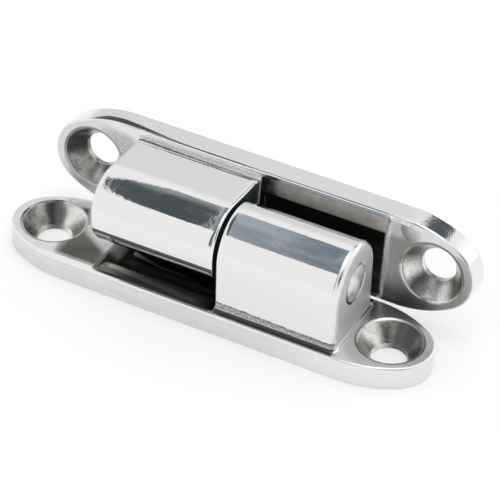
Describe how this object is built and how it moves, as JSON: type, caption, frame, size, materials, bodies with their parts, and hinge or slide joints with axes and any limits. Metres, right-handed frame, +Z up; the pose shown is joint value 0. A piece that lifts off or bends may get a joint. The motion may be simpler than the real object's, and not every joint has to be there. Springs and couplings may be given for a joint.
{
  "type": "cabinet hinge",
  "caption": "Polished cast hinge with oblong leaves, countersunk screw holes and half-length knuckles that turn on a domed pin.",
  "frame": {"origin": "middle of the front leaf's two screw holes, on its underside", "axes": "+X along the pin, +Y towards the rear leaf, +Z up out of the front leaf's face"},
  "size_m": [0.0763, 0.0216, 0.0199],
  "materials": {
    "polished_steel": "mirror polished cast stainless steel, satin in the countersinks",
    "pin_steel": "polished stainless steel"
  },
  "bodies": {
    "front": {"front_leaf": "polished_steel", "hinge_pin": "pin_steel"},
    "rear": {"rear_leaf": "polished_steel"}
  },
  "joints": [
    {"name": "leaf_swing", "type": "hinge", "parent": "front", "child": "rear", "pos_m": [0, 0, 0.01285], "axis": [1, 0, 0], "range_deg": [0, 191.55]}
  ]
}
